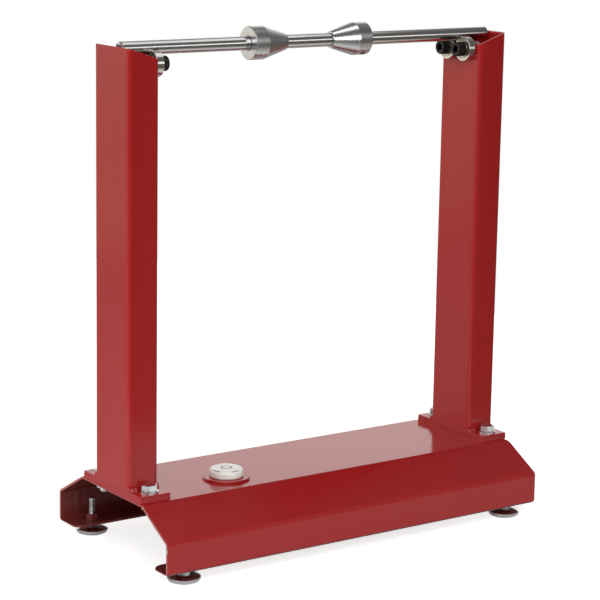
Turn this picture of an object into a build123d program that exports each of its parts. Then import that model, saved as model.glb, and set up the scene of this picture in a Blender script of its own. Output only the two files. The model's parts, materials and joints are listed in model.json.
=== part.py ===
from build123d import *
import os
from math import radians, sqrt, tan

# Wheel balancing stand: a folded sheet base, two hollow posts, and a loose ground shaft
# that turns on four ball bearings and carries two locking cones.
# Frame: +X along the base from the left post to the right post, +Y to the back, +Z up,
# with the origin on the floor under the middle of the base. All sizes in millimetres.

os.makedirs("parts", exist_ok=True)

# ---- driving dimensions -------------------------------------------------------------

# base channel, folded from one sheet (outside sizes)
base_length = 400.0
sheet_thickness = 2.0
top_half_width = 51.0
slope_run = 41.0
slope_drop = 23.0
side_height = 29.0
flange_depth = 28.0
bend_radius = 4.0
flange_corner = 12.0
side_corner = 3.0
foot_height = 10.5

# posts and their foot plates
post_width = 30.0
post_depth = 56.0
post_wall = 2.0
post_corner = 4.0
post_edge = 0.4
post_outer_rise = 380.0
post_inner_rise = 370.0
plate_depth = 97.0
plate_thickness = 6.0
plate_corner = 1.5
plate_edge = 0.7
plate_bolt_half_spacing = 38.0

# M8 hexagon bolts, washers and nuts
bolt_diameter = 8.0
bolt_length = 20.0
bolt_hole = 9.0
bolt_chamfer = 1.0
hex_flats_m8 = 13.0
bolt_head_height = 5.3
nut_height_m8 = 6.5
washer_diameter = 16.0
washer_thickness = 1.6
washer_chamfer = 0.3

# 608 ball bearings
bearing_diameter = 22.0
bearing_bore = 8.0
bearing_width = 7.0
bearing_half_spacing = 11.6
bearing_edge = 0.4
outer_shoulder_radius = 9.0
inner_shoulder_radius = 6.0
ball_diameter = 3.97
ball_pitch_radius = 7.5
ball_count = 7
race_play = 0.03
groove_conformity = 1.04
cage_inner_radius = 6.9
cage_outer_radius = 8.1
cage_open_side = 1.0
cage_closed_side = 2.45
pocket_play = 0.08
shield_thickness = 0.35
shield_inset = 0.4
shield_inner_radius = 6.3
shield_seat_radius = 9.4

# M8 socket head cap screws that carry the bearings
cap_screw_length = 20.0
cap_head_diameter = 13.0
cap_head_height = 8.0
cap_head_edge = 0.8
cap_socket_flats = 6.0
cap_socket_depth = 4.0
cap_screw_hole = 8.2
spacer_diameter = 12.0
spacer_thickness = 1.0

# shaft and cones
shaft_diameter = 12.0
shaft_rise = 377.3
shaft_left_end = -192.5
shaft_right_end = 197.0
shaft_chamfer = 0.8
roll_gap = 0.05
cone_diameter = 29.0
cone_tip_diameter = 14.6
cone_rim_length = 13.5
cone_taper_length = 24.0
cone_chamfer = 0.7
cone_bore_play = 0.05
left_cone_back = -65.0
right_cone_back = 58.5
set_screw_diameter = 5.0
set_screw_sink = 0.6
set_screw_tip_gap = 0.3
set_screw_socket_flats = 2.5
set_screw_socket_depth = 2.0
set_screw_tilt = {"left": -30.0, "right": 150.0}

# bull's-eye level
level_x = -95.0
level_y = -19.0
level_disc_diameter = 42.0
level_disc_thickness = 2.0
level_disc_edge = 0.6
level_diameter = 30.0
level_height = 7.5
level_top_edge = 3.0
level_bottom_edge = 1.2
level_cavity_diameter = 24.0
level_roof = 1.6
level_backing_thickness = 1.2
level_dome_sag = 0.9
bubble_radius = 3.2
bubble_depth = 1.1

# adjustable feet on M6 studs
foot_x = 175.0
foot_y = 78.0
stud_diameter = 6.0
stud_top = 32.5
stud_seat = 2.8
stud_chamfer = 0.7
stud_play = 0.05
flange_hole = 7.0
weld_nut_flats = 10.0
weld_nut_height = 5.0
foot_hex_bottom = 6.6
foot_hex_height = 2.8
foot_cup_radius = 14.2
foot_cup_bottom = 0.8
foot_cup_base_radius = 12.7
foot_cup_widest = 4.2
foot_cup_neck_radius = 5.6
foot_cup_rim_bulge = (0.25, 1.3)
foot_cup_dome_bulge = (2.8, 1.3)
foot_cup_bore_play = 0.02
foot_pad_radius = 11.2
foot_pad_thickness = 2.2
foot_pad_play = 0.1
foot_pad_edge = 0.4

# ---- derived sizes and places -------------------------------------------------------

half_length = base_length / 2
base_half_width = top_half_width + slope_run
flange_inner = base_half_width - flange_depth
flange_top = foot_height + sheet_thickness
side_top = foot_height + side_height
base_top = side_top + slope_drop
plate_top = base_top + plate_thickness
post_outer_top = base_top + post_outer_rise
post_inner_top = base_top + post_inner_rise
post_centre = half_length - post_width / 2
post_inner_face = half_length - post_width
post_web_back = post_inner_face + post_wall

shaft_radius = shaft_diameter / 2
shaft_z = base_top + shaft_rise
bearing_radius = bearing_diameter / 2
bearing_z = shaft_z - sqrt(
    (shaft_radius + bearing_radius + roll_gap) ** 2 - bearing_half_spacing**2
)
bearing_face = post_inner_face - spacer_thickness - bearing_width
bearing_middle = bearing_face + bearing_width / 2

level_base = base_top + level_disc_thickness
level_top = level_base + level_height

side_sign = {"left": -1, "right": 1}
row_sign = {"front": -1, "back": 1}
sides = list(side_sign)
corners = [(side, row) for side in sides for row in row_sign]
plate_bolt_points = [
    (side_sign[side] * post_centre, row_sign[row] * plate_bolt_half_spacing)
    for side, row in corners
]
foot_points = {
    (side, row): (side_sign[side] * foot_x, row_sign[row] * foot_y) for side, row in corners
}


def keep(builder, node):
    """Label a finished sub-part and write it to its STEP file."""
    builder.part.label = node
    export_step(builder.part, f"parts/{node}.step")


def bevelled_hexagon(flats, height):
    """Hexagonal prism on the XY plane with its top corners turned off at 30 degrees."""
    corner_radius = flats / sqrt(3)
    bevel_drop = (corner_radius - flats / 2) * tan(radians(30))
    with BuildPart() as prism:
        with BuildSketch():
            RegularPolygon(radius=flats / 2, side_count=6, major_radius=False)
        extrude(amount=height)
        with BuildSketch(Plane.XZ):
            with BuildLine():
                Polyline(
                    (0, 0),
                    (corner_radius, 0),
                    (corner_radius, height - bevel_drop),
                    (flats / 2, height),
                    (0, height),
                    close=True,
                )
            make_face()
        revolve(axis=Axis.Z, mode=Mode.INTERSECT)
    return prism.part


# ---- base channel -------------------------------------------------------------------

with BuildPart() as base_channel:
    with BuildSketch(Plane.YZ.offset(-half_length)):
        with BuildLine():
            FilletPolyline(
                (flange_inner, foot_height),
                (base_half_width, foot_height),
                (base_half_width, side_top),
                (top_half_width, base_top),
                (-top_half_width, base_top),
                (-base_half_width, side_top),
                (-base_half_width, foot_height),
                (-flange_inner, foot_height),
                radius=bend_radius,
            )
            offset(amount=sheet_thickness, side=Side.LEFT)
        make_face()
    extrude(amount=base_length)
    flange_ends = [
        edge
        for edge in base_channel.edges().filter_by(Axis.Z)
        if abs(abs(edge.center().Y) - flange_inner) < 0.1
    ]
    fillet(flange_ends, radius=flange_corner)
    # the lower corners of the two side panels are rounded off at both ends
    with BuildSketch(Plane.XZ) as side_outline:
        with Locations((0, (foot_height + base_top) / 2)):
            Rectangle(base_length, base_top - foot_height)
        fillet(side_outline.vertices().group_by(Axis.Z)[0], radius=side_corner)
    extrude(amount=base_half_width, both=True, mode=Mode.INTERSECT)
    with BuildSketch(Plane.XY.offset(base_top - sheet_thickness)):
        with Locations(*plate_bolt_points):
            Circle(bolt_hole / 2)
    extrude(amount=sheet_thickness, mode=Mode.SUBTRACT)
    with BuildSketch(Plane.XY.offset(foot_height)):
        with Locations(*foot_points.values()):
            Circle(flange_hole / 2)
    extrude(amount=sheet_thickness, mode=Mode.SUBTRACT)
keep(base_channel, "base_channel")

# ---- posts and foot plates ----------------------------------------------------------

for side in sides:
    sign = side_sign[side]

    with BuildPart() as foot_plate:
        with BuildSketch(Plane.XY.offset(base_top)):
            with Locations((sign * post_centre, 0)):
                RectangleRounded(post_width, plate_depth, plate_corner)
            with Locations(
                (sign * post_centre, plate_bolt_half_spacing),
                (sign * post_centre, -plate_bolt_half_spacing),
            ):
                Circle(bolt_hole / 2, mode=Mode.SUBTRACT)
        extrude(amount=plate_thickness)
        plate_faces = foot_plate.faces().filter_by(Axis.Z).sort_by(Axis.Z)
        fillet(plate_faces[-1].outer_wire().edges(), radius=plate_edge)
    keep(foot_plate, f"{side}_foot_plate")

    with BuildPart() as post:
        with BuildSketch(Plane.XY.offset(plate_top)):
            with Locations((sign * post_centre, 0)):
                RectangleRounded(post_width, post_depth, post_corner)
                RectangleRounded(
                    post_width - 2 * post_wall,
                    post_depth - 2 * post_wall,
                    post_corner - post_wall,
                    mode=Mode.SUBTRACT,
                )
        extrude(amount=post_outer_top - plate_top)
        # the open top is cut at a slant, lower on the inner face
        with BuildSketch(Plane.XZ):
            with BuildLine():
                Polyline(
                    (sign * half_length, post_outer_top),
                    (sign * post_inner_face, post_inner_top),
                    (sign * post_inner_face, post_outer_top),
                    close=True,
                )
            make_face()
        extrude(amount=post_depth, both=True, mode=Mode.SUBTRACT)
        fillet(post.faces().sort_by(Axis.Z)[-1].edges(), radius=post_edge)
        with BuildSketch(Plane.YZ.offset(sign * (post_inner_face + post_wall / 2))):
            with Locations(
                (bearing_half_spacing, bearing_z),
                (-bearing_half_spacing, bearing_z),
            ):
                Circle(cap_screw_hole / 2)
        extrude(amount=post_wall, both=True, mode=Mode.SUBTRACT)
    keep(post, f"{side}_post")

# ---- bolts that hold the foot plates to the base ------------------------------------

bolt_head = bevelled_hexagon(hex_flats_m8, bolt_head_height)
nut_blank_m8 = bevelled_hexagon(hex_flats_m8, nut_height_m8)

with BuildPart() as hex_bolt:
    add(bolt_head)
    with BuildSketch(Plane.XY.offset(-bolt_length)):
        Circle(bolt_diameter / 2)
    extrude(amount=bolt_length)
    chamfer(hex_bolt.edges().group_by(Axis.Z)[0], length=bolt_chamfer)

with BuildPart() as plain_washer:
    with BuildSketch():
        Circle(washer_diameter / 2)
        Circle(bolt_hole / 2, mode=Mode.SUBTRACT)
    extrude(amount=washer_thickness)
    washer_rim = plain_washer.edges().group_by(Axis.Z)[-1].sort_by(SortBy.RADIUS)[-1]
    chamfer(washer_rim, length=washer_chamfer)

with BuildPart() as hex_nut_m8:
    add(nut_blank_m8)
    with BuildSketch():
        Circle(bolt_diameter / 2 + stud_play)
    extrude(amount=nut_height_m8, mode=Mode.SUBTRACT)

bolt_seat = plate_top + washer_thickness
under_sheet = base_top - sheet_thickness

with BuildPart() as plate_bolts:
    with Locations(*[(x, y, bolt_seat) for x, y in plate_bolt_points]):
        add(hex_bolt.part)
keep(plate_bolts, "plate_bolts")

with BuildPart() as plate_washers:
    with Locations(*[(x, y, plate_top) for x, y in plate_bolt_points]):
        add(plain_washer.part)
keep(plate_washers, "plate_washers")

with BuildPart() as plate_nuts:
    for x, y in plate_bolt_points:
        with Locations(Location((x, y, under_sheet), (180, 0, 0))):
            add(hex_nut_m8.part)
keep(plate_nuts, "plate_nuts")

# ---- ball bearings, one pair at the top of each post --------------------------------

ball_radius = ball_diameter / 2
groove_radius = ball_radius * groove_conformity
outer_groove_centre = ball_pitch_radius + ball_radius + race_play - groove_radius
inner_groove_centre = ball_pitch_radius - ball_radius - race_play + groove_radius
shield_outer_face = bearing_width / 2 - shield_inset

# Each bearing piece is turned about the X axis at the origin, then placed.
with BuildPart() as outer_ring:
    with BuildSketch(Plane.YZ.offset(-bearing_width / 2)):
        Circle(bearing_radius)
        Circle(outer_shoulder_radius, mode=Mode.SUBTRACT)
    extrude(amount=bearing_width)
    rims = outer_ring.edges().filter_by(GeomType.CIRCLE).group_by(SortBy.RADIUS)[-1]
    fillet(rims, radius=bearing_edge)
    with BuildSketch(Plane.XZ):
        with Locations((0, outer_groove_centre)):
            Circle(groove_radius)
    revolve(axis=Axis.X, mode=Mode.SUBTRACT)
    seat_length = shield_inset + shield_thickness
    for end_plane in (
        Plane.YZ.offset(bearing_width / 2 - seat_length),
        Plane.YZ.offset(-bearing_width / 2),
    ):
        with BuildSketch(end_plane):
            Circle(shield_seat_radius)
        extrude(amount=seat_length, mode=Mode.SUBTRACT)

with BuildPart() as inner_ring:
    with BuildSketch(Plane.YZ.offset(-bearing_width / 2)):
        Circle(inner_shoulder_radius)
        Circle(bearing_bore / 2, mode=Mode.SUBTRACT)
    extrude(amount=bearing_width)
    with BuildSketch(Plane.XZ):
        with Locations((0, inner_groove_centre)):
            Circle(groove_radius)
    revolve(axis=Axis.X, mode=Mode.SUBTRACT)

with BuildPart() as ball_set:
    with PolarLocations(ball_pitch_radius, ball_count):
        Sphere(ball_radius)

with BuildPart() as crown_cage:
    with BuildSketch(Plane.XY.offset(-cage_open_side)):
        Circle(cage_outer_radius)
        Circle(cage_inner_radius, mode=Mode.SUBTRACT)
    extrude(amount=cage_open_side + cage_closed_side)
    with PolarLocations(ball_pitch_radius, ball_count):
        Sphere(ball_radius + pocket_play, mode=Mode.SUBTRACT)

with BuildPart() as shield_pair:
    for plane in (
        Plane.YZ.offset(shield_outer_face - shield_thickness),
        Plane.YZ.offset(-shield_outer_face),
    ):
        with BuildSketch(plane):
            Circle(shield_seat_radius)
            Circle(shield_inner_radius, mode=Mode.SUBTRACT)
        extrude(amount=shield_thickness)

for side, row in corners:
    centre = (
        side_sign[side] * bearing_middle,
        row_sign[row] * bearing_half_spacing,
        bearing_z,
    )
    along_x = Location(centre)
    ring_axis_to_x = Location(centre, (0, 90, 0))
    placed = {
        "outer_ring": (outer_ring, along_x),
        "inner_ring": (inner_ring, along_x),
        "shields": (shield_pair, along_x),
        "balls": (ball_set, ring_axis_to_x),
        "cage": (crown_cage, ring_axis_to_x),
    }
    for piece, (template, place) in placed.items():
        with BuildPart() as bearing_piece:
            with Locations(place):
                add(template.part)
        keep(bearing_piece, f"bearing_{side}_{row}_{piece}")

# ---- cap screws, spacers and nuts that carry the bearings ---------------------------

# The templates point along +X, with the bearing's outer face at x = 0.
with BuildPart() as cap_screw:
    with BuildSketch(Plane.YZ.offset(-cap_head_height)):
        Circle(cap_head_diameter / 2)
    extrude(amount=cap_head_height)
    fillet(cap_screw.edges().filter_by(GeomType.CIRCLE).sort_by(Axis.X)[0], radius=cap_head_edge)
    with BuildSketch(Plane.YZ.offset(-cap_head_height)):
        RegularPolygon(radius=cap_socket_flats / 2, side_count=6, major_radius=False)
    extrude(amount=cap_socket_depth, mode=Mode.SUBTRACT)
    with BuildSketch(Plane.YZ):
        Circle(bolt_diameter / 2 - stud_play)
    extrude(amount=cap_screw_length)
    chamfer(cap_screw.edges().filter_by(GeomType.CIRCLE).sort_by(Axis.X)[-1], length=bolt_chamfer)

with BuildPart() as spacer:
    with BuildSketch(Plane.YZ.offset(bearing_width)):
        Circle(spacer_diameter / 2)
        Circle(cap_screw_hole / 2, mode=Mode.SUBTRACT)
    extrude(amount=spacer_thickness)

nut_seat = bearing_width + spacer_thickness + post_wall
with BuildPart() as cap_nut:
    with BuildSketch(Plane.YZ.offset(nut_seat)):
        RegularPolygon(radius=hex_flats_m8 / 2, side_count=6, major_radius=False)
        Circle(bolt_diameter / 2, mode=Mode.SUBTRACT)
    extrude(amount=nut_height_m8)

bearing_mount_places = [
    Location(
        (
            side_sign[side] * bearing_face,
            row_sign[row] * bearing_half_spacing,
            bearing_z,
        ),
        (0, 0, 0 if side == "right" else 180),
    )
    for side, row in corners
]
for template, node in (
    (cap_screw, "bearing_screws"),
    (spacer, "bearing_spacers"),
    (cap_nut, "bearing_screw_nuts"),
):
    with BuildPart() as bearing_fasteners:
        with Locations(*bearing_mount_places):
            add(template.part)
    keep(bearing_fasteners, node)

# ---- shaft --------------------------------------------------------------------------

with BuildPart() as shaft:
    with BuildSketch(Plane.YZ.offset(shaft_left_end)):
        with Locations((0, shaft_z)):
            Circle(shaft_radius)
    extrude(amount=shaft_right_end - shaft_left_end)
    chamfer(shaft.edges().filter_by(GeomType.CIRCLE), length=shaft_chamfer)
keep(shaft, "shaft")

# ---- cones and their set screws -----------------------------------------------------

shaft_axis = Axis((0, 0, shaft_z), (1, 0, 0))
cone_bore_radius = shaft_radius + cone_bore_play
cone_radius = cone_diameter / 2
cone_back = {"left": left_cone_back, "right": right_cone_back}
set_screw_radius = set_screw_diameter / 2
set_screw_tip = cone_bore_radius + set_screw_tip_gap
set_screw_head = cone_radius - set_screw_sink

for side in sides:
    inward = -side_sign[side]
    back = cone_back[side]
    shoulder = back + inward * cone_rim_length
    tip = shoulder + inward * cone_taper_length
    screw_x = back + inward * cone_rim_length / 2
    screw_plane = Plane(
        origin=(screw_x, 0, shaft_z),
        x_dir=(1, 0, 0),
        z_dir=Vector(0, 0, 1).rotate(Axis.X, set_screw_tilt[side]),
    )

    with BuildPart() as cone:
        with BuildSketch(Plane.XZ):
            with BuildLine():
                Polyline(
                    (back, shaft_z + cone_bore_radius + cone_chamfer),
                    (back, shaft_z + cone_radius - cone_chamfer),
                    (back + inward * cone_chamfer, shaft_z + cone_radius),
                    (shoulder, shaft_z + cone_radius),
                    (tip, shaft_z + cone_tip_diameter / 2),
                    (tip, shaft_z + cone_bore_radius),
                    (back + inward * cone_chamfer, shaft_z + cone_bore_radius),
                    close=True,
                )
            make_face()
        revolve(axis=shaft_axis)
        with BuildSketch(screw_plane):
            Circle(set_screw_radius)
        extrude(amount=cone_diameter, mode=Mode.SUBTRACT)
    keep(cone, f"{side}_cone")

    with BuildPart() as set_screw:
        with BuildSketch(screw_plane.offset(set_screw_tip)):
            Circle(set_screw_radius - stud_play)
        extrude(amount=set_screw_head - set_screw_tip)
        with BuildSketch(screw_plane.offset(set_screw_head)):
            RegularPolygon(radius=set_screw_socket_flats / 2, side_count=6, major_radius=False)
        extrude(amount=-set_screw_socket_depth, mode=Mode.SUBTRACT)
    keep(set_screw, f"{side}_cone_set_screw")

# ---- bull's-eye level ---------------------------------------------------------------

level_axis = Axis((level_x, level_y, 0), (0, 0, 1))
level_plane = Plane(origin=(level_x, level_y, 0), x_dir=(1, 0, 0), z_dir=(0, -1, 0))
cavity_radius = level_cavity_diameter / 2
roof_edge = level_top - level_roof - level_dome_sag
backing_top = level_base + level_backing_thickness
dome_top = (0, level_top - level_roof)
dome_rim = (cavity_radius, roof_edge)
dome_mid = (cavity_radius / 2, roof_edge + 0.75 * level_dome_sag)

with BuildPart() as level_mount_disc:
    with BuildSketch(Plane.XY.offset(base_top)):
        with Locations((level_x, level_y)):
            Circle(level_disc_diameter / 2)
    extrude(amount=level_disc_thickness)
    fillet(level_mount_disc.edges().group_by(Axis.Z)[-1], radius=level_disc_edge)
keep(level_mount_disc, "level_mount_disc")

with BuildPart() as level_housing:
    with BuildSketch(Plane.XY.offset(level_base)):
        with Locations((level_x, level_y)):
            Circle(level_diameter / 2)
    extrude(amount=level_height)
    fillet(level_housing.edges().group_by(Axis.Z)[-1], radius=level_top_edge)
    fillet(level_housing.edges().group_by(Axis.Z)[0], radius=level_bottom_edge)
    with BuildSketch(level_plane):
        with BuildLine():
            ThreePointArc(dome_top, dome_mid, dome_rim)
            Polyline(dome_rim, (cavity_radius, level_base), (0, level_base), dome_top)
        make_face()
    revolve(axis=level_axis, mode=Mode.SUBTRACT)
keep(level_housing, "level_housing")

with BuildPart() as level_backing:
    with BuildSketch(Plane.XY.offset(level_base)):
        with Locations((level_x, level_y)):
            Circle(cavity_radius)
    extrude(amount=level_backing_thickness)
keep(level_backing, "level_backing")

with BuildPart() as level_fluid:
    with BuildSketch(level_plane):
        with BuildLine():
            ThreePointArc(dome_top, dome_mid, dome_rim)
            Polyline(dome_rim, (cavity_radius, backing_top), (0, backing_top), dome_top)
        make_face()
    revolve(axis=level_axis)
    with Locations((level_x, level_y, level_top - level_roof)):
        Cylinder(
            bubble_radius,
            bubble_depth,
            align=(Align.CENTER, Align.CENTER, Align.MAX),
            mode=Mode.SUBTRACT,
        )
keep(level_fluid, "level_fluid")

# ---- adjustable feet ----------------------------------------------------------------

weld_nut_blank = bevelled_hexagon(weld_nut_flats, weld_nut_height)

with BuildPart() as weld_nut:
    add(weld_nut_blank)
    with BuildSketch():
        Circle(stud_diameter / 2 + stud_play)
    extrude(amount=weld_nut_height, mode=Mode.SUBTRACT)

with BuildPart() as foot_weld_nuts:
    with Locations(*[(x, y, flange_top) for x, y in foot_points.values()]):
        add(weld_nut.part)
keep(foot_weld_nuts, "foot_weld_nuts")

with BuildPart() as foot_stud:
    with BuildSketch(Plane.XY.offset(stud_seat)):
        Circle(stud_diameter / 2)
    extrude(amount=stud_top - stud_seat)
    chamfer(foot_stud.edges().group_by(Axis.Z)[-1], length=stud_chamfer)
    with BuildSketch(Plane.XY.offset(foot_hex_bottom)):
        RegularPolygon(radius=weld_nut_flats / 2, side_count=6, major_radius=False)
    extrude(amount=foot_hex_height)

foot_cup_bore_radius = stud_diameter / 2 + foot_cup_bore_play
pad_recess_radius = foot_pad_radius + foot_pad_play
pad_recess_top = foot_pad_thickness + foot_pad_play
with BuildPart() as foot_cup:
    with BuildSketch(Plane.XZ):
        with BuildLine():
            rim = ThreePointArc(
                (foot_cup_base_radius, foot_cup_bottom),
                (foot_cup_radius - foot_cup_rim_bulge[0], foot_cup_bottom + foot_cup_rim_bulge[1]),
                (foot_cup_radius, foot_cup_widest),
            )
            dome = ThreePointArc(
                rim @ 1,
                (foot_cup_radius - foot_cup_dome_bulge[0], foot_cup_widest + foot_cup_dome_bulge[1]),
                (foot_cup_neck_radius, foot_hex_bottom),
            )
            Polyline(
                dome @ 1,
                (foot_cup_bore_radius, foot_hex_bottom),
                (foot_cup_bore_radius, pad_recess_top),
                (pad_recess_radius, pad_recess_top),
                (pad_recess_radius, foot_cup_bottom),
                rim @ 0,
            )
        make_face()
    revolve(axis=Axis.Z)

with BuildPart() as foot_pad:
    with BuildSketch():
        Circle(foot_pad_radius)
    extrude(amount=foot_pad_thickness)
    chamfer(foot_pad.edges().group_by(Axis.Z)[0], length=foot_pad_edge)

for (side, row), point in foot_points.items():
    for template, piece in ((foot_stud, "stud"), (foot_cup, "cup"), (foot_pad, "pad")):
        with BuildPart() as foot_piece:
            with Locations(point):
                add(template.part)
        keep(foot_piece, f"foot_{side}_{row}_{piece}")
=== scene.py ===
import json
from math import cos, pi, radians, sin, sqrt, tan

import bpy
from mathutils import Matrix, Vector, noise

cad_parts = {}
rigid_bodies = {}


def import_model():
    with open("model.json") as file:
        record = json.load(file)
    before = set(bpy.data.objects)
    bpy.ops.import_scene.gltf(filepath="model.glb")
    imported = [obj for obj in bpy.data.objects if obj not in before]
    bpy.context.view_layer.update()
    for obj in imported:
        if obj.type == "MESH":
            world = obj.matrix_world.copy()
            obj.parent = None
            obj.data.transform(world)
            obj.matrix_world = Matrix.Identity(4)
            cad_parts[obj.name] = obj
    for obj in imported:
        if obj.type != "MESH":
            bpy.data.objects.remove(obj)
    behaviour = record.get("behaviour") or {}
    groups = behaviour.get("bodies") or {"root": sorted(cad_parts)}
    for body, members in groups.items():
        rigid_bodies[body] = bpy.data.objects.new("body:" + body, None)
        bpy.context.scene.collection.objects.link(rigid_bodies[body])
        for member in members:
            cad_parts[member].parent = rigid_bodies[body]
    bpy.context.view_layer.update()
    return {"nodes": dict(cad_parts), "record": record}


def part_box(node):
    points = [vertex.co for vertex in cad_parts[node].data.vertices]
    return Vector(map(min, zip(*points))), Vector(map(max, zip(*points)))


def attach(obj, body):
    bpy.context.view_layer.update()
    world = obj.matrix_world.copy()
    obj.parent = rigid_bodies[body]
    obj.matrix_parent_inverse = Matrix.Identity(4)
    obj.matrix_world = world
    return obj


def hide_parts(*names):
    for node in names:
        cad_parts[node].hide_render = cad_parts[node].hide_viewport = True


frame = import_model()
nodes = frame["nodes"]

# Wheel balancing stand: gloss red folded base and posts, a steel shaft with two cones on
# ball bearings, a bull's-eye level and four screw feet. Everything is in metres, in the
# frame of the CAD model, and places are read from the boxes of its nodes.

MM = 0.001

# ---- places from the frame ----------------------------------------------------------

shaft_low, shaft_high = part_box("shaft")
shaft_z = (shaft_low.z + shaft_high.z) / 2
base_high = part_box("base_channel")[1]
base_top = base_high.z
plate_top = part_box("left_foot_plate")[1].z
level_low, level_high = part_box("level_housing")
level_centre = (level_low + level_high) / 2
bearing_low, bearing_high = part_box("bearing_right_back_outer_ring")
bearing_centre = (bearing_low + bearing_high) / 2

corners = [(side, row) for side in ("left", "right") for row in ("front", "back")]
side_sign = {"left": -1, "right": 1}
row_sign = {"front": -1, "back": 1}


# ---- material building blocks -------------------------------------------------------


def add_node(tree, kind, inputs=None, **properties):
    """A new shader node; each input is a value or another node's output socket."""
    made = tree.nodes.new(kind)
    for key, value in properties.items():
        setattr(made, key, value)
    for key, value in (inputs or {}).items():
        if isinstance(value, bpy.types.NodeSocket):
            tree.links.new(value, made.inputs[key])
        else:
            made.inputs[key].default_value = value
    return made


def new_material(name, **settings):
    """A material with one Principled shader, and the place on the object in metres."""
    material = bpy.data.materials.new(name)
    material.use_nodes = True
    tree = material.node_tree
    shader = tree.nodes["Principled BSDF"]
    for key, value in settings.items():
        shader.inputs[key.replace("_", " ")].default_value = value
    place = add_node(tree, "ShaderNodeTexCoord").outputs["Object"]
    return material, tree, shader, place


def math_node(tree, operation, first, second=0.0, third=0.0):
    made = add_node(tree, "ShaderNodeMath", {0: first, 1: second, 2: third}, operation=operation)
    return made.outputs[0]


def stretched(tree, place, scale, centre=(0, 0, 0)):
    """The place measured from centre and multiplied by scale on each axis."""
    moved = add_node(
        tree, "ShaderNodeVectorMath", {0: place, 1: centre}, operation="SUBTRACT"
    ).outputs[0]
    return add_node(
        tree, "ShaderNodeVectorMath", {0: moved, 1: scale}, operation="MULTIPLY"
    ).outputs[0]


def noise_at(tree, place, scale, detail=2.0, roughness=0.5):
    made = add_node(
        tree,
        "ShaderNodeTexNoise",
        {"Vector": place, "Scale": scale, "Detail": detail, "Roughness": roughness},
    )
    return made.outputs["Fac"]


def between(tree, value, low, high, from_low=0.0, from_high=1.0):
    """value from one range laid onto another, and held inside it."""
    made = add_node(
        tree,
        "ShaderNodeMapRange",
        {
            "Value": value,
            "From Min": from_low,
            "From Max": from_high,
            "To Min": low,
            "To Max": high,
        },
    )
    return made.outputs[0]


def mix_colours(tree, factor, first, second):
    made = add_node(tree, "ShaderNodeMix", data_type="RGBA")
    for key, value in (("Factor", factor), ("A", first), ("B", second)):
        socket = [s for s in made.inputs if s.name == key and s.enabled][0]
        if isinstance(value, bpy.types.NodeSocket):
            tree.links.new(value, socket)
        else:
            socket.default_value = value if key == "Factor" else (*value, 1.0)
    return [s for s in made.outputs if s.enabled][0]


def bump(tree, height, depth, strength=1.0, normal=None):
    inputs = {"Height": height, "Distance": depth, "Strength": strength}
    if normal is not None:
        inputs["Normal"] = normal
    return add_node(tree, "ShaderNodeBump", inputs).outputs[0]


def radius_from_axis(tree, place, centre, axis):
    """Distance from a line through centre along axis "X" or "Z"."""
    scale = {"X": (0, 1, 1), "Z": (1, 1, 0)}[axis]
    offset = stretched(tree, place, scale, centre)
    return add_node(tree, "ShaderNodeVectorMath", {0: offset}, operation="LENGTH").outputs[
        "Value"
    ]


def wave(tree, value, pitch):
    """A sine of value, from -1 to 1, that repeats every pitch metres."""
    return math_node(tree, "SINE", math_node(tree, "MULTIPLY", value, 2 * pi / pitch))


def axis_part(tree, place, axis):
    return add_node(tree, "ShaderNodeSeparateXYZ", {0: place}).outputs[axis]


# ---- materials ----------------------------------------------------------------------


def hidden_side(tree, place):
    """Where the painted shade goes: 1 on the faces that look into the base or straight down, and
    0 on the others.
    """
    true_normal = add_node(tree, "ShaderNodeNewGeometry").outputs["True Normal"]
    inward = stretched(tree, place, (0, -1, -1), (0, 0, base_top / 2))
    facing = add_node(
        tree, "ShaderNodeVectorMath", {0: true_normal, 1: inward}, operation="DOT_PRODUCT"
    ).outputs["Value"]
    inside = math_node(tree, "GREATER_THAN", facing, 0.0)
    underneath = math_node(tree, "LESS_THAN", axis_part(tree, true_normal, "Z"), -0.5)
    return math_node(tree, "MAXIMUM", inside, underneath)


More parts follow.
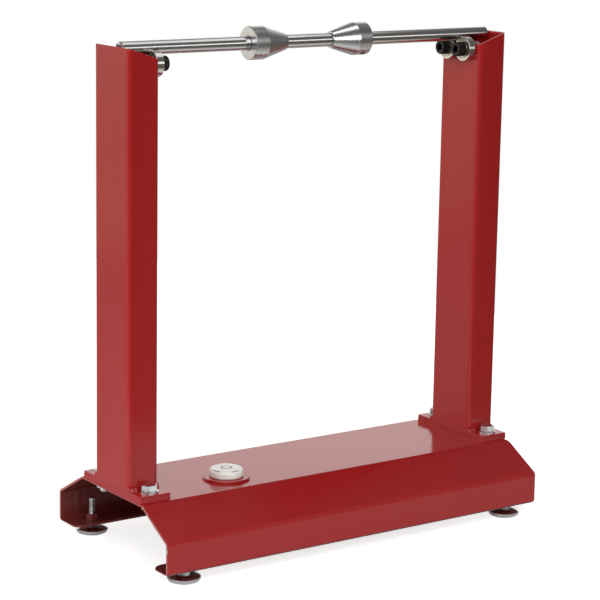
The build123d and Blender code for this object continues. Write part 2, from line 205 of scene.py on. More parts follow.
def red_paint():
    """Gloss red powder coat: fine orange peel, painted shade inside the base, and chipped sheet
    ends with a painted highlight.
    """
    end_depth = 0.2 * MM
    above_base = 0.01 * MM
    material, tree, shader, place = new_material("red_paint", IOR=1.5)
    tone = noise_at(tree, place, 14, 3)
    colour = mix_colours(tree, tone, (0.355, 0.0085, 0.0105), (0.400, 0.0110, 0.0130))
    # paler along the sharpest edges: partly wear of the coat, partly a painted highlight where
    # rounded edges would catch the light
    edge = add_node(tree, "ShaderNodeNewGeometry").outputs["Pointiness"]
    edge_wear_and_highlight = between(tree, edge, 0.0, 0.35, 0.54, 0.62)
    colour = mix_colours(tree, edge_wear_and_highlight, colour, (0.50, 0.05, 0.045))
    # painted highlight: pale pink on the cut ends of the base's sheet, where their rounded edges
    # would catch the light
    parts = add_node(tree, "ShaderNodeSeparateXYZ", {0: place}).outputs
    end = math_node(tree, "ABSOLUTE", parts["X"])
    at_end = math_node(tree, "GREATER_THAN", end, base_high.x - end_depth)
    in_base = math_node(tree, "LESS_THAN", parts["Z"], base_top + above_base)
    sheet_end = math_node(tree, "MULTIPLY", at_end, in_base)
    colour = mix_colours(tree, sheet_end, colour, (0.42, 0.12, 0.10))
    # painted shade: darker and browner where the base is hidden from outside and on its faces
    # that look down
    hidden_in_base = math_node(tree, "MULTIPLY", hidden_side(tree, place), in_base)
    painted_shade_colour = mix_colours(tree, tone, (0.15, 0.026, 0.022), (0.19, 0.032, 0.028))
    colour = mix_colours(tree, hidden_in_base, colour, painted_shade_colour)
    # chipped to bare metal here and there on the cut ends
    chips = between(tree, noise_at(tree, place, 170, 3), 0.0, 1.0, 0.66, 0.69)
    chipped = math_node(tree, "MULTIPLY", sheet_end, chips)
    colour = mix_colours(tree, chipped, colour, (0.62, 0.60, 0.57))
    tree.links.new(colour, shader.inputs["Base Color"])
    haze = noise_at(tree, place, 60, 4, 0.6)
    tree.links.new(between(tree, haze, 0.10, 0.19), shader.inputs["Roughness"])
    peel = noise_at(tree, place, 520, 1)
    dust = noise_at(tree, place, 2400, 2)
    normal = bump(tree, peel, 0.012 * MM, 0.5)
    normal = bump(tree, dust, 0.003 * MM, 0.3, normal)
    tree.links.new(normal, shader.inputs["Normal"])
    return material


def zinc_steel():
    """Bright zinc plate: cool, faintly mottled and finely grained."""
    material, tree, shader, place = new_material("zinc_steel", Metallic=1.0)
    mottle = noise_at(tree, place, 380, 4, 0.65)
    colour = mix_colours(tree, mottle, (0.60, 0.635, 0.66), (0.80, 0.82, 0.83))
    tree.links.new(colour, shader.inputs["Base Color"])
    tree.links.new(between(tree, mottle, 0.18, 0.36), shader.inputs["Roughness"])
    grain = noise_at(tree, place, 2600, 3)
    tree.links.new(bump(tree, grain, 0.01 * MM, 0.5), shader.inputs["Normal"])
    return material


def black_oxide():
    """Black oxide on alloy steel: oily dark grey with rubbed brown-grey patches."""
    material, tree, shader, place = new_material("black_oxide", Metallic=1.0)
    patch = between(tree, noise_at(tree, place, 420, 4, 0.6), 0.0, 1.0, 0.35, 0.7)
    colour = mix_colours(tree, patch, (0.014, 0.014, 0.016), (0.050, 0.047, 0.043))
    tree.links.new(colour, shader.inputs["Base Color"])
    tree.links.new(between(tree, patch, 0.24, 0.42), shader.inputs["Roughness"])
    grain = noise_at(tree, place, 3000, 2)
    tree.links.new(bump(tree, grain, 0.01 * MM, 0.4), shader.inputs["Normal"])
    return material


def ground_steel():
    """Ground shaft: fine lines around it, and faint drawn streaks along it."""
    material, tree, shader, place = new_material("ground_steel", Metallic=1.0)
    centred = stretched(tree, place, (1, 1, 1), (0, 0, shaft_z))
    rings = noise_at(tree, stretched(tree, centred, (2600, 40, 40)), 1.0, 2)
    streaks = noise_at(tree, stretched(tree, centred, (9, 900, 900)), 1.0, 3)
    colour = mix_colours(tree, streaks, (0.44, 0.44, 0.445), (0.66, 0.66, 0.655))
    tree.links.new(colour, shader.inputs["Base Color"])
    tree.links.new(between(tree, rings, 0.15, 0.22), shader.inputs["Roughness"])
    tree.links.new(bump(tree, rings, 0.004 * MM, 0.2), shader.inputs["Normal"])
    return material


def turned_steel():
    """Turned cones: even tool marks that circle the shaft on every face."""
    material, tree, shader, place = new_material("turned_steel", Metallic=1.0)
    centre = (0, 0, shaft_z)
    radius = radius_from_axis(tree, place, centre, "X")
    along = axis_part(tree, place, "X")
    travel = math_node(tree, "ADD", radius, along)
    marks = wave(tree, travel, 0.22 * MM)
    cuts = noise_at(tree, stretched(tree, place, (3200, 30, 30), centre), 1.0, 3)
    colour = mix_colours(tree, cuts, (0.46, 0.468, 0.48), (0.68, 0.69, 0.705))
    tree.links.new(colour, shader.inputs["Base Color"])
    tree.links.new(between(tree, cuts, 0.20, 0.36), shader.inputs["Roughness"])
    normal = bump(tree, marks, 0.002 * MM, 0.5)
    normal = bump(tree, cuts, 0.006 * MM, 0.3, normal)
    tree.links.new(normal, shader.inputs["Normal"])
    return material


def bearing_axis_place(tree, place):
    """The place with both rows folded onto one, measured from the bearing's centre line."""
    parts = add_node(tree, "ShaderNodeSeparateXYZ", {0: place}).outputs
    folded = math_node(tree, "ABSOLUTE", parts["Y"])
    joined = add_node(
        tree, "ShaderNodeCombineXYZ", {"X": parts["X"], "Y": folded, "Z": parts["Z"]}
    ).outputs[0]
    return stretched(tree, joined, (1, 1, 1), (0, bearing_centre.y, bearing_centre.z))


def bearing_steel():
    """Hardened ring steel: finely ground around, with a warm film of oil."""
    material, tree, shader, place = new_material("bearing_steel", Metallic=1.0)
    centred = bearing_axis_place(tree, place)
    film = noise_at(tree, place, 260, 3)
    colour = mix_colours(tree, film, (0.50, 0.49, 0.455), (0.66, 0.65, 0.62))
    tree.links.new(colour, shader.inputs["Base Color"])
    lines = noise_at(tree, stretched(tree, centred, (4200, 60, 60)), 1.0, 2)
    tree.links.new(between(tree, lines, 0.12, 0.26), shader.inputs["Roughness"])
    tree.links.new(bump(tree, lines, 0.003 * MM, 0.5), shader.inputs["Normal"])
    return material


def shield_steel():
    """Pressed shields: satin, with rings around the bore and a yellow-green tint."""
    material, tree, shader, place = new_material("shield_steel", Metallic=1.0)
    centred = bearing_axis_place(tree, place)
    radius = radius_from_axis(tree, centred, (0, 0, 0), "X")
    rings = wave(tree, radius, 0.9 * MM)
    film = noise_at(tree, place, 300, 3)
    colour = mix_colours(tree, film, (0.36, 0.355, 0.275), (0.52, 0.51, 0.43))
    tree.links.new(colour, shader.inputs["Base Color"])
    tree.links.new(between(tree, film, 0.26, 0.4), shader.inputs["Roughness"])
    tree.links.new(bump(tree, rings, 0.05 * MM, 0.6), shader.inputs["Normal"])
    return material


def cage_plastic():
    """Moulded cage: warm translucent plastic with a faint flow grain."""
    material, tree, shader, place = new_material("cage_plastic", Roughness=0.45)
    shader.inputs["Subsurface Weight"].default_value = 0.15
    shader.inputs["Subsurface Radius"].default_value = (0.002, 0.0015, 0.0008)
    flow = noise_at(tree, place, 500, 3)
    colour = mix_colours(tree, flow, (0.66, 0.58, 0.40), (0.76, 0.69, 0.52))
    tree.links.new(colour, shader.inputs["Base Color"])
    tree.links.new(bump(tree, flow, 0.02 * MM, 0.4), shader.inputs["Normal"])
    return material


def nickel():
    """Nickel-plated foot cup: bright and smooth, duller where it has been handled."""
    material, tree, shader, place = new_material("nickel", Metallic=1.0)
    smear = noise_at(tree, place, 120, 4, 0.6)
    colour = mix_colours(tree, smear, (0.62, 0.625, 0.635), (0.78, 0.785, 0.795))
    tree.links.new(colour, shader.inputs["Base Color"])
    tree.links.new(between(tree, smear, 0.07, 0.22), shader.inputs["Roughness"])
    grain = noise_at(tree, place, 1800, 2)
    tree.links.new(bump(tree, grain, 0.004 * MM, 0.4), shader.inputs["Normal"])
    return material


def pad_plastic():
    """Dark glide plastic with a fine pebbled moulding texture and scuffs."""
    material, tree, shader, place = new_material("pad_plastic", IOR=1.49)
    scuff = noise_at(tree, stretched(tree, place, (90, 500, 500)), 1.0, 4)
    colour = mix_colours(tree, scuff, (0.018, 0.018, 0.019), (0.045, 0.044, 0.043))
    tree.links.new(colour, shader.inputs["Base Color"])
    tree.links.new(between(tree, scuff, 0.42, 0.62), shader.inputs["Roughness"])
    pebbles = add_node(
        tree, "ShaderNodeTexVoronoi", {"Vector": place, "Scale": 1600.0}
    ).outputs["Distance"]
    tree.links.new(bump(tree, pebbles, 0.03 * MM, 0.5), shader.inputs["Normal"])
    return material


def clear_plastic():
    """Acrylic vial, more milky than clear, with faint moulding waves."""
    material, tree, shader, place = new_material(
        "clear_plastic", Transmission_Weight=0.3, IOR=1.49
    )
    haze = noise_at(tree, place, 160, 3)
    colour = mix_colours(tree, haze, (0.93, 0.93, 0.88), (0.98, 0.975, 0.94))
    tree.links.new(colour, shader.inputs["Base Color"])
    tree.links.new(between(tree, haze, 0.05, 0.12), shader.inputs["Roughness"])
    waves = noise_at(tree, place, 70, 1)
    tree.links.new(bump(tree, waves, 0.02 * MM, 0.3), shader.inputs["Normal"])
    return material


def level_fluid():
    """Level fluid: clear, with the faintest green."""
    material, tree, shader, place = new_material(
        "level_fluid", Transmission_Weight=1.0, IOR=1.36, Roughness=0.0
    )
    depth = between(tree, axis_part(tree, place, "Z"), 0.0, 1.0, level_low.z, level_high.z)
    colour = mix_colours(tree, depth, (0.93, 0.96, 0.90), (0.98, 0.99, 0.96))
    tree.links.new(colour, shader.inputs["Base Color"])
    return material


def white_plastic():
    """White backing disc of the level, finely grained."""
    material, tree, shader, place = new_material("white_plastic", IOR=1.49)
    grain = noise_at(tree, place, 900, 3)
    colour = mix_colours(tree, grain, (0.80, 0.79, 0.765), (0.88, 0.87, 0.85))
    tree.links.new(colour, shader.inputs["Base Color"])
    tree.links.new(between(tree, grain, 0.35, 0.5), shader.inputs["Roughness"])
    tree.links.new(bump(tree, grain, 0.01 * MM, 0.4), shader.inputs["Normal"])
    return material


def target_and_shade_arc_ink():
    """Grey-green ink of the level's target ring and of its arcs of painted shade, a little
    uneven.
    """
    material, tree, shader, place = new_material("target_and_shade_arc_ink", IOR=1.45)
    uneven = noise_at(tree, place, 1500, 3)
    colour = mix_colours(tree, uneven, (0.055, 0.075, 0.06), (0.11, 0.13, 0.11))
    tree.links.new(colour, shader.inputs["Base Color"])
    tree.links.new(between(tree, uneven, 0.4, 0.6), shader.inputs["Roughness"])
    return material


makers = (
    red_paint,
    zinc_steel,
    black_oxide,
    ground_steel,
    turned_steel,
    bearing_steel,
    shield_steel,
    cage_plastic,
    nickel,
    pad_plastic,
    clear_plastic,
    white_plastic,
    level_fluid,
)
finishes = {maker.__name__: maker() for maker in makers}
# one ink for the printed target ring and for the dark arcs of painted shade
ink = target_and_shade_arc_ink()


def paint_cad_nodes():
    """Give each CAD node the finish of its slot in the record."""
    for entry in frame["record"]["subparts"]:
        mesh = nodes[entry["node"]].data
        mesh.materials.clear()
        mesh.materials.append(finishes[entry["material_slot"]])


# ---- mesh building blocks -----------------------------------------------------------


def new_piece(name, shape, slot, body, replaced=(), finish=None, crease=35):
    """A mesh piece that rides on a body, with its slot's finish, creased past crease degrees."""
    points, faces = shape
    mesh = bpy.data.meshes.new(name)
    mesh.from_pydata([tuple(point) for point in points], [], faces)
    mesh.validate()
    mesh.update()
    mesh.shade_smooth()
    mesh.set_sharp_from_angle(angle=radians(crease))
    mesh.materials.append(finish or finishes[slot])
    piece = bpy.data.objects.new(name, mesh)
    bpy.context.scene.collection.objects.link(piece)
    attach(piece, body)
    if replaced:
        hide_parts(*replaced)
    return piece


def grid_faces(rows, columns):
    """Quads between rows of points, each row a closed loop."""
    faces = []
    for row in range(rows - 1):
        for column in range(columns):
            after = (column + 1) % columns
            low = row * columns
            high = low + columns
            faces.append((low + column, low + after, high + after, high + column))
    return faces


def placer(origin, axis=(0, 0, 1), across=(1, 0, 0)):
    """A function that places (radius, angle, height) around an axis through origin."""
    origin, axis, across = Vector(origin), Vector(axis), Vector(across)
    side = axis.cross(across)

    def reach(radius, angle, height):
        return origin + radius * (cos(angle) * across + sin(angle) * side) + height * axis

    return reach


def lathe(rings, segments, reach):
    """A closed turned form. Each ring is (radius, height), from the low end to the high one.

    A radius is a number or a function of the angle and the height. The ends are filled.
    """
    points = []
    for radius, height in rings:
        for step in range(segments):
            angle = 2 * pi * step / segments
            distance = radius(angle, height) if callable(radius) else radius
            points.append(reach(distance, angle, height))
    faces = grid_faces(len(rings), segments)
    last = (len(rings) - 1) * segments
    faces.append(tuple(reversed(range(segments))))
    faces.append(tuple(range(last, last + segments)))
    return points, faces


def joined(shapes):
    """One shape from several (points, faces) pairs."""
    points, faces = [], []
    for more_points, more_faces in shapes:
        start = len(points)
        points.extend(more_points)
        faces.extend(tuple(start + index for index in face) for face in more_faces)
    return points, faces


def hexagon(flats, blunting=0.985):
    """Radius of a hexagon with blunted corners, one of them at angle 0."""

    def radius(angle, height):
        from_flat = angle % (pi / 3) - pi / 6
        return min(flats / 2 / cos(from_flat), flats / sqrt(3) * blunting)

    return radius


def bevelled(outline, flats, low, high):
    """An outline whose corners are turned off at 30 degrees below high and above low."""
    end_radius = flats / 2 * 0.96

    def radius(angle, height):
        from_end = min(high - height, height - low)
        return min(outline(angle, height), end_radius + from_end / tan(radians(30)))

    return radius


def thread(major, pitch, low, high, fade):
    """Radius of a right-hand thread that runs out over the length fade at both ends."""
    depth = 0.32 * pitch
    # above 1, so that a narrow flat crest is left between the grooves
    steepness = 1.15

    def radius(angle, height):
        phase = (height / pitch - angle / (2 * pi)) % 1.0
        groove = max(0.0, 1.0 - abs(phase - 0.5) * 2 * steepness)
        near_end = min(height - low, high - height) / fade
        return major - depth * groove * min(1.0, max(0.0, near_end))

    return radius


def spread(low, high, count):
    """Evenly spaced heights from low to high, both included."""
    return [low + (high - low) * step / (count - 1) for step in range(count)]


def smooth_step(value, low, high):
    part = min(1.0, max(0.0, (value - low) / (high - low)))
    return part * part * (3 - 2 * part)


# ---- fasteners ----------------------------------------------------------------------

RINGS_A_PITCH = 6
M6_RADIUS = 3.0 * MM
M6_PITCH = 1.0 * MM
M8_RADIUS = 4.0 * MM
M8_PITCH = 1.25 * MM
M8_FLATS = 13.0 * MM
M8_WASHER_RADIUS = 8.0 * MM
HEX_SEGMENTS = 48
SHANK_SEGMENTS = 24


def threaded_rings(major, pitch, low, high, point):
    """Rings of a threaded rod from low to high, with its high end tapered over point."""
    screw = thread(major, pitch, low, high - point, 2 * pitch)
    count = int((high - point - low) / pitch * RINGS_A_PITCH)
    rings = [(screw, height) for height in spread(low, high - point, count)]
    rings.append((major - point, high))
    return rings


def hexagon_rings(flats, low, high):
    """Rings of a hexagon block, closely spaced where its ends are turned off."""
    shape = bevelled(hexagon(flats), flats, low, high)
    reach_in = 1.2 * MM
    heights = spread(low, low + reach_in, 6) + spread(high - reach_in, high, 6)
    return [(shape, height) for height in heights]


def foot_studs():
    """Threaded M6 studs with the hexagon that turns them, one on each foot."""
    hexagon_height = 2.8 * MM
    point = 0.7 * MM
    for side, row in corners:
        node = f"foot_{side}_{row}_stud"
        low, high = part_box(node)
        middle = (low + high) / 2
        flats = high.y - low.y
        cup_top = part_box(f"foot_{side}_{row}_cup")[1].z
        hexagon_top = cup_top + hexagon_height
        rings = [(M6_RADIUS, low.z), (M6_RADIUS, cup_top)]
        rings += hexagon_rings(flats, cup_top, hexagon_top)
        rings += threaded_rings(M6_RADIUS, M6_PITCH, hexagon_top, high.z, point)
        new_piece(
            f"foot_{side}_{row}_threaded_stud",
            lathe(rings, HEX_SEGMENTS, placer((middle.x, middle.y, 0))),
            "zinc_steel",
            f"foot_{side}_{row}_screw",
            replaced=[node],
        )


def plate_bolts():
    """Hexagon bolts with dished heads through the foot plates, as one piece."""
    low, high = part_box("plate_bolts")
    washers_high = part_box("plate_washers")[1]
    seat = washers_high.z
    place_x = washers_high.x - M8_WASHER_RADIUS
    place_y = washers_high.y - M8_WASHER_RADIUS
    point = 1.0 * MM
    shank_low = low.z + point
    screw = thread(M8_RADIUS, M8_PITCH, shank_low, seat, 2 * M8_PITCH)
    count = int((seat - low.z) / M8_PITCH * RINGS_A_PITCH)
    dish_floor = high.z - 0.25 * MM
    rings = [(M8_RADIUS - point, low.z)]
    rings += [(screw, height) for height in spread(shank_low, seat, count)]
    rings += hexagon_rings(M8_FLATS, seat, high.z)
    rings += [
        (M8_FLATS * 0.40, high.z),
        (M8_FLATS * 0.37, dish_floor),
        (M8_FLATS * 0.05, dish_floor),
    ]
    shapes = []
    for side, row in corners:
        reach = placer((side_sign[side] * place_x, row_sign[row] * place_y, 0))
        shapes.append(lathe(rings, HEX_SEGMENTS, reach))
    new_piece(
        "plate_hex_bolts", joined(shapes), "zinc_steel", "stand", replaced=["plate_bolts"]
    )


KNURL_TEETH = 42
POINTS_A_TOOTH = 4


def cap_head_rings():
    """Rings of a knurled M8 socket head, from inside its socket, over the top and down to 0."""
    head_radius = 6.5 * MM
    head_top = -8.0 * MM
    edge = 0.8 * MM
    # the smooth parts of the head lie just inside the tips of the knurls
    step_in = 0.1 * MM
    knurl_depth = 0.22 * MM
    knurl_low = head_top + edge
    knurl_full = head_top + 2 * edge
    seat_edge = 0.5 * MM
    socket_flats = 6.0 * MM
    socket_floor = head_top + 4.0 * MM
    socket_mouth = head_top + 0.3 * MM
    mouth_radius = socket_flats * 0.62
    drill_tip = (0.3 * MM, socket_floor + 0.8 * MM)
    inside_shank = M8_RADIUS - 0.1 * MM
    edge_steps = 4
    socket = hexagon(socket_flats, 1.0)

    def knurled(angle, height):
        """Straight knurling that fades out at the head's rounded edge."""
        tooth = abs((angle / (2 * pi) * KNURL_TEETH) % 1.0 - 0.5) * 2
        inside = smooth_step(height, knurl_low, knurl_full)
        return head_radius - knurl_depth * tooth * inside - step_in * (1 - inside)

    rings = [drill_tip, (socket, socket_floor), (socket, socket_mouth), (mouth_radius, head_top)]
    for step in range(edge_steps):
        turn = pi / 2 * step / edge_steps
        out = head_radius - step_in - edge * (1 - sin(turn))
        rings.append((out, head_top + edge * (1 - cos(turn))))
    heights = spread(knurl_low, knurl_full, 3) + [-seat_edge]
    rings += [(knurled, height) for height in heights]
    rings += [(head_radius - seat_edge, 0.0), (inside_shank, 0.0)]
    return rings


def cap_screws():
    """Socket head cap screws that carry the bearings, each from its bearing's inner face."""
    shank_radius = M8_RADIUS - 0.05 * MM
    length = 20.0 * MM
    point = 1.0 * MM
    head = cap_head_rings()
    shank = threaded_rings(shank_radius, M8_PITCH, 0.0, length, point)
    shapes = []
    for side, row in corners:
        ring_low, ring_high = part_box(f"bearing_{side}_{row}_outer_ring")
        centre = (ring_low + ring_high) / 2
        face = ring_low.x if side == "right" else ring_high.x
        reach = placer((face, centre.y, centre.z), (side_sign[side], 0, 0), (0, 0, 1))
        shapes.append(lathe(head, KNURL_TEETH * POINTS_A_TOOTH, reach))
        shapes.append(lathe(shank, SHANK_SEGMENTS, reach))
    new_piece(
        "bearing_cap_screws",
        joined(shapes),
        "black_oxide",
        "stand",
        replaced=["bearing_screws"],
    )


# ---- welds --------------------------------------------------------------------------

POST_CORNER = 4.0 * MM


def weld_stations(straight):
    """Places along a bead as (along, back, turn): a bend, the straight stretch and a bend."""
    bend_steps, straight_count = 10, 45
    # the share of each corner's quarter turn that the bead follows
    wrap = 0.86
    gap = 0.5 * MM

    def bent(start, turn):
        return start + POST_CORNER * sin(turn), POST_CORNER * (1 - cos(turn)), turn

    stations = []
    for step in range(bend_steps + 1):
        stations.append(bent(-straight, -pi / 2 * (1 - step / bend_steps) * wrap))
    for along in spread(-straight + gap, straight - gap, straight_count):
        stations.append((along, 0.0, 0.0))
    for step in range(bend_steps + 1):
        stations.append(bent(straight, pi / 2 * step / bend_steps * wrap))
    return stations


def weld_width(along, noise_place):
    """A bead's width, rippled and uneven: about 1.6 mm in the middle and 3.5 mm at its ends."""
    ripple_length = 1.7 * MM
    width = (1.6 + 1.9 * smooth_step(abs(along), 4 * MM, 9 * MM)) * MM
    width *= 1 + 0.10 * sin(2 * pi * along / ripple_length)
    width *= 1 + 0.12 * noise.noise((along * 300, *noise_place))
    return width


def weld_profile(width, sink):
    """A bead's outline as (out, up), closed a little way into the post and the plate."""
    overlap = 0.02 * MM
    steps = 7
    rise = width * 1.2
    profile = [(-sink, rise + overlap), (0.0, rise)]
    for step in range(1, steps):
        angle = pi / 2 * step / steps
        # between a straight bevel and a full quarter round
        bulge = 0.72 + 0.10 * sin(2 * angle)
        profile.append((width * sin(angle) * bulge, rise * cos(angle) * bulge))
    profile += [(width, 0.0), (width, -sink), (-sink, -sink)]
    return profile


def post_welds():
    """Rippled fillet welds where each post's front and back stand on its foot plate."""
    sink = 0.4 * MM
    side_margin = 0.15 * MM
    for side in side_sign:
        low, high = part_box(f"{side}_post")
        middle = (low + high) / 2
        half = (high.x - low.x) / 2
        reach_limit = half - side_margin
        stations = weld_stations(half - POST_CORNER)
        for row, sign in row_sign.items():
            face = high.y if sign > 0 else low.y
            # a place of its own in the noise for each bead, so that no two are alike
            noise_place = (middle.x * 40, sign * 3.0)
            points = []
            for along, back, turn in stations:
                profile = weld_profile(weld_width(along, noise_place), sink)
                for out, up in profile:
                    x = along + out * sin(turn)
                    x = min(reach_limit, max(-reach_limit, x))
                    y = face + sign * (out * cos(turn) - back)
                    points.append((middle.x + x, y, plate_top + up))
            loop = len(profile)
            faces = grid_faces(len(stations), loop)
            faces.append(tuple(reversed(range(loop))))
            faces.append(tuple(range((len(stations) - 1) * loop, len(stations) * loop)))
            new_piece(
                f"{side}_post_weld_{row}", (points, faces), "red_paint", "stand", crease=60
            )


# ---- bull's-eye level ---------------------------------------------------------------

VIAL_SEGMENTS = 96
VIAL_TOP_EDGE = 3.0 * MM
VIAL_BOTTOM_EDGE = 1.2 * MM


def ring_bead(radius, width, height, proud, start, sweep, reach):
    """A low line of ink that follows an arc, with closed ends unless it goes all round: the
    printed target ring, and the arcs of painted shade.
    """
    across = 8
    closed = sweep >= 2 * pi
    steps = 96 if closed else 24
    points = []
    for step in range(steps):
        angle = start + sweep * step / (steps if closed else steps - 1)
        for corner in range(across):
            turn = 2 * pi * corner / across
            out = radius + width / 2 * cos(turn)
            points.append(reach(out, angle, height + proud * sin(turn)))
    faces = grid_faces(steps, across)
    last = (steps - 1) * across
    if closed:
        for corner in range(across):
            after = (corner + 1) % across
            faces.append((last + corner, last + after, after, corner))
    else:
        faces.append(tuple(reversed(range(across))))
        faces.append(tuple(range(last, last + across)))
    return points, faces


def vial_outside(inner, outer, low, high):
    """Rings of the vial's outside, from its open underside up over its rounded edges."""
    bottom_steps, top_steps = 8, 10
    rings = [(inner, low)]
    for step in range(bottom_steps + 1):
        turn = pi / 2 * step / bottom_steps
        out = outer - VIAL_BOTTOM_EDGE * (1 - sin(turn))
        rings.append((out, low + VIAL_BOTTOM_EDGE * (1 - cos(turn))))
    for step in range(top_steps + 1):
        turn = pi / 2 * step / top_steps
        out = outer - VIAL_TOP_EDGE * (1 - cos(turn))
        rings.append((out, high - VIAL_TOP_EDGE * (1 - sin(turn))))
    return rings


def under_roof(inner, top):
    """Rings of the shallow dome under the vial's roof, from its rim to its middle."""
    steps = 8
    dome_sag = 0.9 * MM
    smallest = 0.2 * MM
    rings = []
    for step in range(steps + 1):
        part = 1 - step / steps
        rings.append((max(smallest, inner * part), top - dome_sag * part * part))
    return rings


def level_vial(reach):
    """The vial's milky shell, open below, and the fluid that fills it."""
    outer = (level_high.x - level_low.x) / 2
    fluid_low, fluid_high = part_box("level_fluid")
    inner = (fluid_high.x - fluid_low.x) / 2
    outside = vial_outside(inner, outer, level_low.z, level_high.z)
    dome = under_roof(inner, fluid_high.z)
    outside_points, outside_faces = lathe(outside, VIAL_SEGMENTS, reach)
    inside_points, inside_faces = lathe([(inner, level_low.z)] + dome, VIAL_SEGMENTS, reach)
    # lathe's last two faces are the low end and the high one, and the low ends stay open
    shell = outside_faces[:-2] + outside_faces[-1:]
    cavity = [tuple(reversed(face)) for face in inside_faces[:-2] + inside_faces[-1:]]
    new_piece(
        "level_vial",
        joined([(outside_points, shell), (inside_points, cavity)]),
        "clear_plastic",
        "stand",
        replaced=["level_housing"],
    )
    gap = 0.05 * MM
    fluid = [(inner - gap, fluid_low.z + gap)]
    fluid += [(radius - gap, height - gap) for radius, height in dome]
    new_piece(
        "level_liquid",
        lathe(fluid, VIAL_SEGMENTS, reach),
        "level_fluid",
        "stand",
        replaced=["level_fluid"],
    )


def level_marks(reach):
    """The target ring printed on the vial's top, and four dark arcs of painted shade on its
    rounded edge.
    """
    target_radius = 4.4 * MM
    target_width, target_proud = 1.3 * MM, 0.08 * MM
    arc_width, arc_proud = 0.9 * MM, 0.25 * MM
    # painted shade: dark arcs where the cavity's edge shows dark through the vial, two flanking
    # the camera's side and two across from them
    arc_middles = (198, 272, 18, 92)
    sweep = radians(30)
    shoulder = radians(35)
    outer = (level_high.x - level_low.x) / 2
    top = level_high.z
    target = ring_bead(target_radius, target_width, top, target_proud, 0.0, 2 * pi, reach)
    arc_radius = outer - VIAL_TOP_EDGE * (1 - sin(shoulder))
    arc_height = top - VIAL_TOP_EDGE * (1 - cos(shoulder))
    arcs = []
    for middle in arc_middles:
        start = radians(middle) - sweep / 2
        arcs.append(
            ring_bead(arc_radius, arc_width, arc_height, arc_proud, start, sweep, reach)
        )
    new_piece("level_target_ring", target, "pad_plastic", "stand", finish=ink)
    # painted shade, in ink, on the vial's rounded edge
    new_piece("level_painted_shade_arcs", joined(arcs), "pad_plastic", "stand", finish=ink)


def level():
    """The bull's-eye level's detailed pieces, all around its upright axis."""
    reach = placer((level_centre.x, level_centre.y, 0))
    level_vial(reach)
    level_marks(reach)


# ---- camera -------------------------------------------------------------------------


def set_camera():
    """The photograph's viewing angle, from a camera fit to it: front left, a little above."""
    azimuth, elevation, roll = radians(-35.104), radians(11.748), radians(0.996)
    distance = 1.92517
    aim = Vector((-0.0102, -0.0061, 0.2104))
    back = Vector(
        (sin(azimuth) * cos(elevation), -cos(azimuth) * cos(elevation), sin(elevation))
    )
    level_right = Vector((cos(azimuth), sin(azimuth), 0))
    level_up = back.cross(level_right)
    right = cos(roll) * level_right + sin(roll) * level_up
    up = cos(roll) * level_up - sin(roll) * level_right
    data = bpy.data.cameras.new("camera")
    data.lens = 129.8
    data.sensor_width = 36
    data.clip_end = 50
    camera = bpy.data.objects.new("camera", data)
    turn = Matrix((right, up, back)).transposed().to_4x4()
    camera.matrix_world = Matrix.Translation(aim + back * distance) @ turn
    bpy.context.scene.collection.objects.link(camera)
    bpy.context.scene.camera = camera


# ---- floor and light ----------------------------------------------------------------


# which finishes the softboxes light
LEVEL_SLOTS = ("clear_plastic",)
TURNED_SLOTS = ("turned_steel",)
SHINY_SLOTS = (
    "zinc_steel",
    "black_oxide",
    "ground_steel",
    "bearing_steel",
    "shield_steel",
    "nickel",
    "clear_plastic",
)


def add_floor():
    """A round pale floor under the stand and behind it.

    It glows nearly white to the camera, and only faintly to the surfaces around it.
    """
    radius, segments = 1.0, 96
    centre = Vector((-0.25, 0.55, 0))
    turns = [2 * pi * step / segments for step in range(segments)]
    points = [centre + radius * Vector((cos(turn), sin(turn), 0)) for turn in turns]
    mesh = bpy.data.meshes.new("floor")
    mesh.from_pydata(points, [], [tuple(range(segments))])
    material = bpy.data.materials.new("floor")
    material.use_nodes = True
    tree = material.node_tree
    shader = tree.nodes["Principled BSDF"]
    shader.inputs["Base Color"].default_value = (0.74, 0.74, 0.73, 1)
    shader.inputs["Roughness"].default_value = 0.9
    shader.inputs["Specular IOR Level"].default_value = 0.0
    shader.inputs["Emission Color"].default_value = (1, 1, 1, 1)
    rays = add_node(tree, "ShaderNodeLightPath").outputs
    place = add_node(tree, "ShaderNodeTexCoord").outputs["Object"]
    away = add_node(tree, "ShaderNodeVectorMath", {0: place}, operation="LENGTH").outputs["Value"]
    glow = between(tree, away, 0.75, 1.0, 0.2, 0.7)
    seen = math_node(tree, "MULTIPLY", rays["Is Camera Ray"], glow)
    mirrored = math_node(tree, "MULTIPLY_ADD", rays["Is Glossy Ray"], 0.05, seen)
    near = between(tree, away, 0.16, 0.0, 0.15, 0.65)
    bounced = math_node(tree, "MULTIPLY_ADD", rays["Is Diffuse Ray"], near, mirrored)
    tree.links.new(bounced, shader.inputs["Emission Strength"])
    mesh.materials.append(material)
    floor = bpy.data.objects.new("floor", mesh)
    bpy.context.scene.collection.objects.link(floor)


def add_area_light(name, towards, distance, size, power, aim):
    """A soft rectangle of light that faces aim, from a distance in the direction towards."""
    data = bpy.data.lights.new(name, "AREA")
    data.shape = "RECTANGLE"
    data.size, data.size_y = size
    data.energy = power
    light = bpy.data.objects.new(name, data)
    away = Vector(towards).normalized()
    light.location = Vector(aim) + away * distance
    light.rotation_euler = away.to_track_quat("Z", "Y").to_euler()
    bpy.context.scene.collection.objects.link(light)
    return light


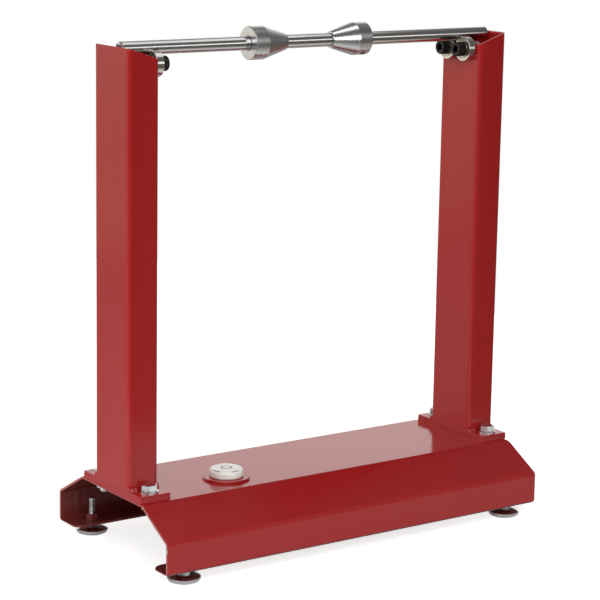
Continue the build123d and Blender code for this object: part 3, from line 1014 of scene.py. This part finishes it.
def set_world():
    """A studio around the object, which the camera sees as white.

    It is bright behind and on the left, dimmer and warmer below, and dark above, in front and
    on the right.
    """
    world = bpy.data.worlds.new("studio")
    bpy.context.scene.world = world
    world.use_nodes = True
    tree = world.node_tree
    shade = tree.nodes["Background"]
    direction = add_node(tree, "ShaderNodeTexCoord").outputs["Generated"]
    bright_side = (-0.30, 0.95, 0.0)
    backdrop = add_node(
        tree, "ShaderNodeVectorMath", {0: direction, 1: bright_side}, operation="DOT_PRODUCT"
    ).outputs["Value"]
    sideways = between(tree, backdrop, 0.0, 1.0, -0.35, 0.25)
    height = axis_part(tree, direction, "Z")
    low_down = between(tree, height, 1.0, 0.0, 0.35, 0.75)
    lit = math_node(tree, "MULTIPLY", sideways, low_down)
    below = between(tree, height, 0.0, 1.0, 0.0, -0.12)
    backdrop_level = between(tree, below, 1.10, 0.55)
    studio = math_node(tree, "MULTIPLY_ADD", lit, backdrop_level, 0.14)
    seen = add_node(tree, "ShaderNodeLightPath").outputs["Is Camera Ray"]
    tree.links.new(between(tree, seen, studio, 1.0), shade.inputs["Strength"])
    tint = mix_colours(tree, below, (1.0, 0.965, 0.945), (1.0, 0.85, 0.68))
    colour = mix_colours(tree, seen, tint, (1.0, 1.0, 1.0))
    tree.links.new(colour, shade.inputs["Color"])


def light_only(light, slots):
    """Keep a light for the pieces and nodes that have one of these finishes."""
    wanted = bpy.data.collections.new(light.name + "_receivers")
    materials = [finishes[slot] for slot in slots]
    for item in bpy.context.scene.objects:
        if item.type == "MESH" and item.data.materials and item.data.materials[0] in materials:
            wanted.objects.link(item)
    light.light_linking.receiver_collection = wanted


def keep_off(light, name):
    """Keep a light from one CAD node."""
    unwanted = bpy.data.collections.new(light.name + "_exception")
    unwanted.objects.link(nodes[name])
    unwanted.collection_objects[0].light_linking.link_state = "EXCLUDE"
    light.light_linking.receiver_collection = unwanted


def set_light():
    """A large soft key, a low fill on the left, and softboxes for the metal and the level."""
    bpy.context.scene.view_settings.view_transform = "Standard"
    set_world()
    middle = (0, 0, 0.2)
    key = add_area_light("key", (-0.36, -0.75, 0.64), 2.2, (1.8, 1.8), 33, middle)
    keep_off(key, "right_cone")
    post_foot = (-0.2, 0, 0.08)
    from_left = (-1.0, -0.1, 0.0)
    left_fill = add_area_light("left_fill", from_left, 0.5, (0.3, 0.3), 0.6, post_foot)
    left_fill.visible_camera = False
    left_fill.visible_glossy = False
    cones = (0, 0, shaft_z)
    # name, direction from the aim, distance, width and height, watts, aim, finishes lit
    softboxes = (
        ("shaft_strip", (0.25, -0.95, 0.17), 1.6, (1.75, 0.34), 3.7, cones, SHINY_SLOTS),
        ("shaft_overhead", (0.36, -0.04, 0.93), 1.5, (1.1, 0.9), 3.6, cones, SHINY_SLOTS),
        ("shaft_fill", (0.22, -0.46, -0.86), 0.40, (0.6, 0.35), 0.25, cones, SHINY_SLOTS),
        ("side_fill", (-0.56, 0.80, -0.20), 1.4, (1.0, 0.8), 1.0, cones, SHINY_SLOTS),
        ("cone_overhead", (0.12, -0.06, 0.99), 1.5, (0.6, 0.9), 4.0, cones, TURNED_SLOTS),
        ("cone_front", (0.02, -0.97, 0.20), 1.6, (0.5, 0.65), 5.0, cones, TURNED_SLOTS),
        ("cone_soft", (0.50, -0.82, 0.28), 1.6, (1.7, 0.6), 1.2, cones, TURNED_SLOTS),
        ("cone_fill", (0.20, -0.62, -0.76), 0.40, (0.6, 0.35), 0.22, cones, TURNED_SLOTS),
        ("cone_side", (-0.56, 0.80, -0.20), 1.4, (1.0, 0.8), 0.5, cones, TURNED_SLOTS),
        ("level_left", (-0.95, -0.18, 0.35), 0.8, (0.15, 0.6), 0.5, level_centre, LEVEL_SLOTS),
        ("level_right", (-0.05, -0.95, 0.35), 0.8, (0.15, 0.6), 0.5, level_centre, LEVEL_SLOTS),
    )
    for name, towards, distance, size, power, aim, slots in softboxes:
        light = add_area_light(name, towards, distance, size, power, aim)
        light.visible_camera = False
        light_only(light, slots)


# ---- the whole scene ----------------------------------------------------------------


paint_cad_nodes()
foot_studs()
plate_bolts()
cap_screws()
post_welds()
level()
set_camera()
add_floor()
set_light()
